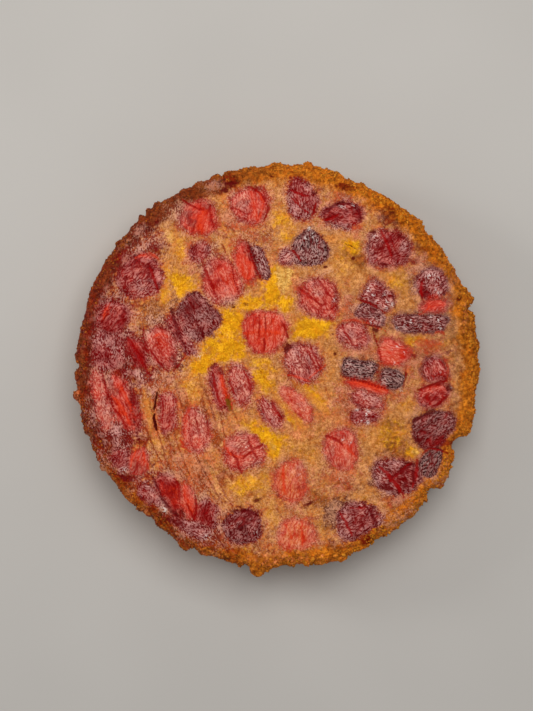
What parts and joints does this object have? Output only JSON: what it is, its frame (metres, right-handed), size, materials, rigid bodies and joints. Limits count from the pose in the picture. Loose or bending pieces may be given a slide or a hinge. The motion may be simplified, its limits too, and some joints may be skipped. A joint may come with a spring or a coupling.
{
  "type": "plum upside-down cake",
  "caption": "Round uncut upside-down cake: a browned sponge with a flat top into which baked plum pieces are sunk, resting on its flat base.",
  "frame": {"origin": "middle of the cake's box seen from above, on the face that it rests on", "axes": "+Z up through the plum top, +X to the right and +Y up as the picture shows the top"},
  "size_m": [0.2294, 0.2316, 0.0419],
  "materials": {
    "sponge": "matt, browned crumb",
    "plum_coral": "moist, satin",
    "plum_crimson": "moist, glossy",
    "plum_mauve": "moist, satin",
    "plum_skin": "wrinkled skin, glossy"
  },
  "bodies": {
    "root": {"cake": "sponge", "plum_01": "plum_coral", "plum_02": "plum_crimson", "plum_03": "plum_crimson", "plum_04": "plum_crimson", "plum_05": "plum_coral", "plum_06": "plum_skin", "plum_07": "plum_crimson", "plum_08": "plum_skin", "plum_09": "plum_skin", "plum_10": "plum_mauve", "plum_11": "plum_crimson", "plum_12": "plum_crimson", "plum_13": "plum_skin", "plum_14": "plum_skin", "plum_15": "plum_crimson", "plum_16": "plum_coral", "plum_17": "plum_skin", "plum_18": "plum_crimson", "plum_19": "plum_crimson", "plum_20": "plum_skin", "plum_21": "plum_crimson", "plum_22": "plum_crimson", "plum_23": "plum_crimson", "plum_24": "plum_crimson", "plum_25": "plum_coral", "plum_26": "plum_mauve", "plum_27": "plum_mauve", "plum_28": "plum_crimson", "plum_29": "plum_crimson", "plum_30": "plum_coral", "plum_31": "plum_mauve", "plum_32": "plum_coral", "plum_33": "plum_skin", "plum_34": "plum_skin", "plum_35": "plum_coral", "plum_36": "plum_mauve", "plum_37": "plum_crimson", "plum_38": "plum_mauve", "plum_39": "plum_crimson", "plum_40": "plum_skin", "plum_41": "plum_mauve", "plum_42": "plum_crimson", "plum_43": "plum_crimson", "plum_44": "plum_crimson", "plum_45": "plum_mauve", "plum_46": "plum_coral", "plum_47": "plum_crimson", "plum_48": "plum_mauve", "plum_49": "plum_coral", "plum_50": "plum_skin", "plum_51": "plum_crimson", "plum_52": "plum_coral", "plum_53": "plum_skin", "plum_54": "plum_crimson", "plum_55": "plum_crimson", "plum_56": "plum_mauve", "plum_57": "plum_coral", "plum_58": "plum_coral", "plum_59": "plum_mauve"}
  },
  "joints": []
}
